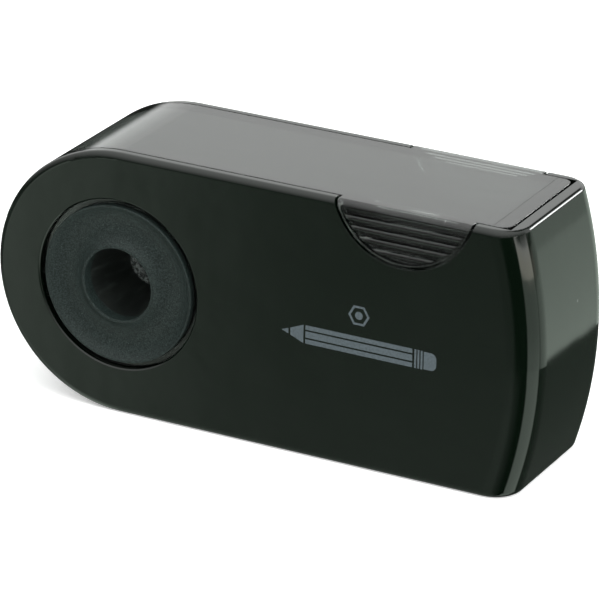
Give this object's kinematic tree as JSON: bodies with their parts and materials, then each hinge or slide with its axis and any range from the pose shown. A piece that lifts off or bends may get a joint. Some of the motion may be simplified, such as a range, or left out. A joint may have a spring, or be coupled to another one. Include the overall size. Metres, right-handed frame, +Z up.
{
  "type": "pencil sharpener",
  "caption": "Pocket pencil sharpener whose smoky shavings container swings up out of a black shell about the axis of the pencil hole.",
  "frame": {"origin": "middle of the base, on the surface it rests on", "axes": "+X towards the square end, +Y towards the back, +Z up; the pencil goes in along +Y on the side at -Y"},
  "size_m": [0.0643, 0.0188, 0.03],
  "materials": {
    "shell_black": "satin moulded ABS, greenish black",
    "smoky_clear": "polished smoke-tinted clear polystyrene",
    "disc_grey": "fine spark-eroded texture",
    "block_black": "as moulded",
    "blade_steel": "ground spring steel",
    "screw_steel": "nickel-plated steel"
  },
  "bodies": {
    "shell": {"outer_shell": "shell_black"},
    "container": {"shavings_container": "smoky_clear", "container_end_wall": "smoky_clear", "entry_disc": "disc_grey", "sharpener_block": "block_black", "sharpener_blade": "blade_steel", "blade_screw": "screw_steel", "rear_pivot_stud": "disc_grey"}
  },
  "joints": [
    {"name": "container_swing", "type": "hinge", "parent": "shell", "child": "container", "pos_m": [-0.01715, 0, 0.015], "axis": [0, -1, 0], "range_deg": [0, 72]}
  ]
}
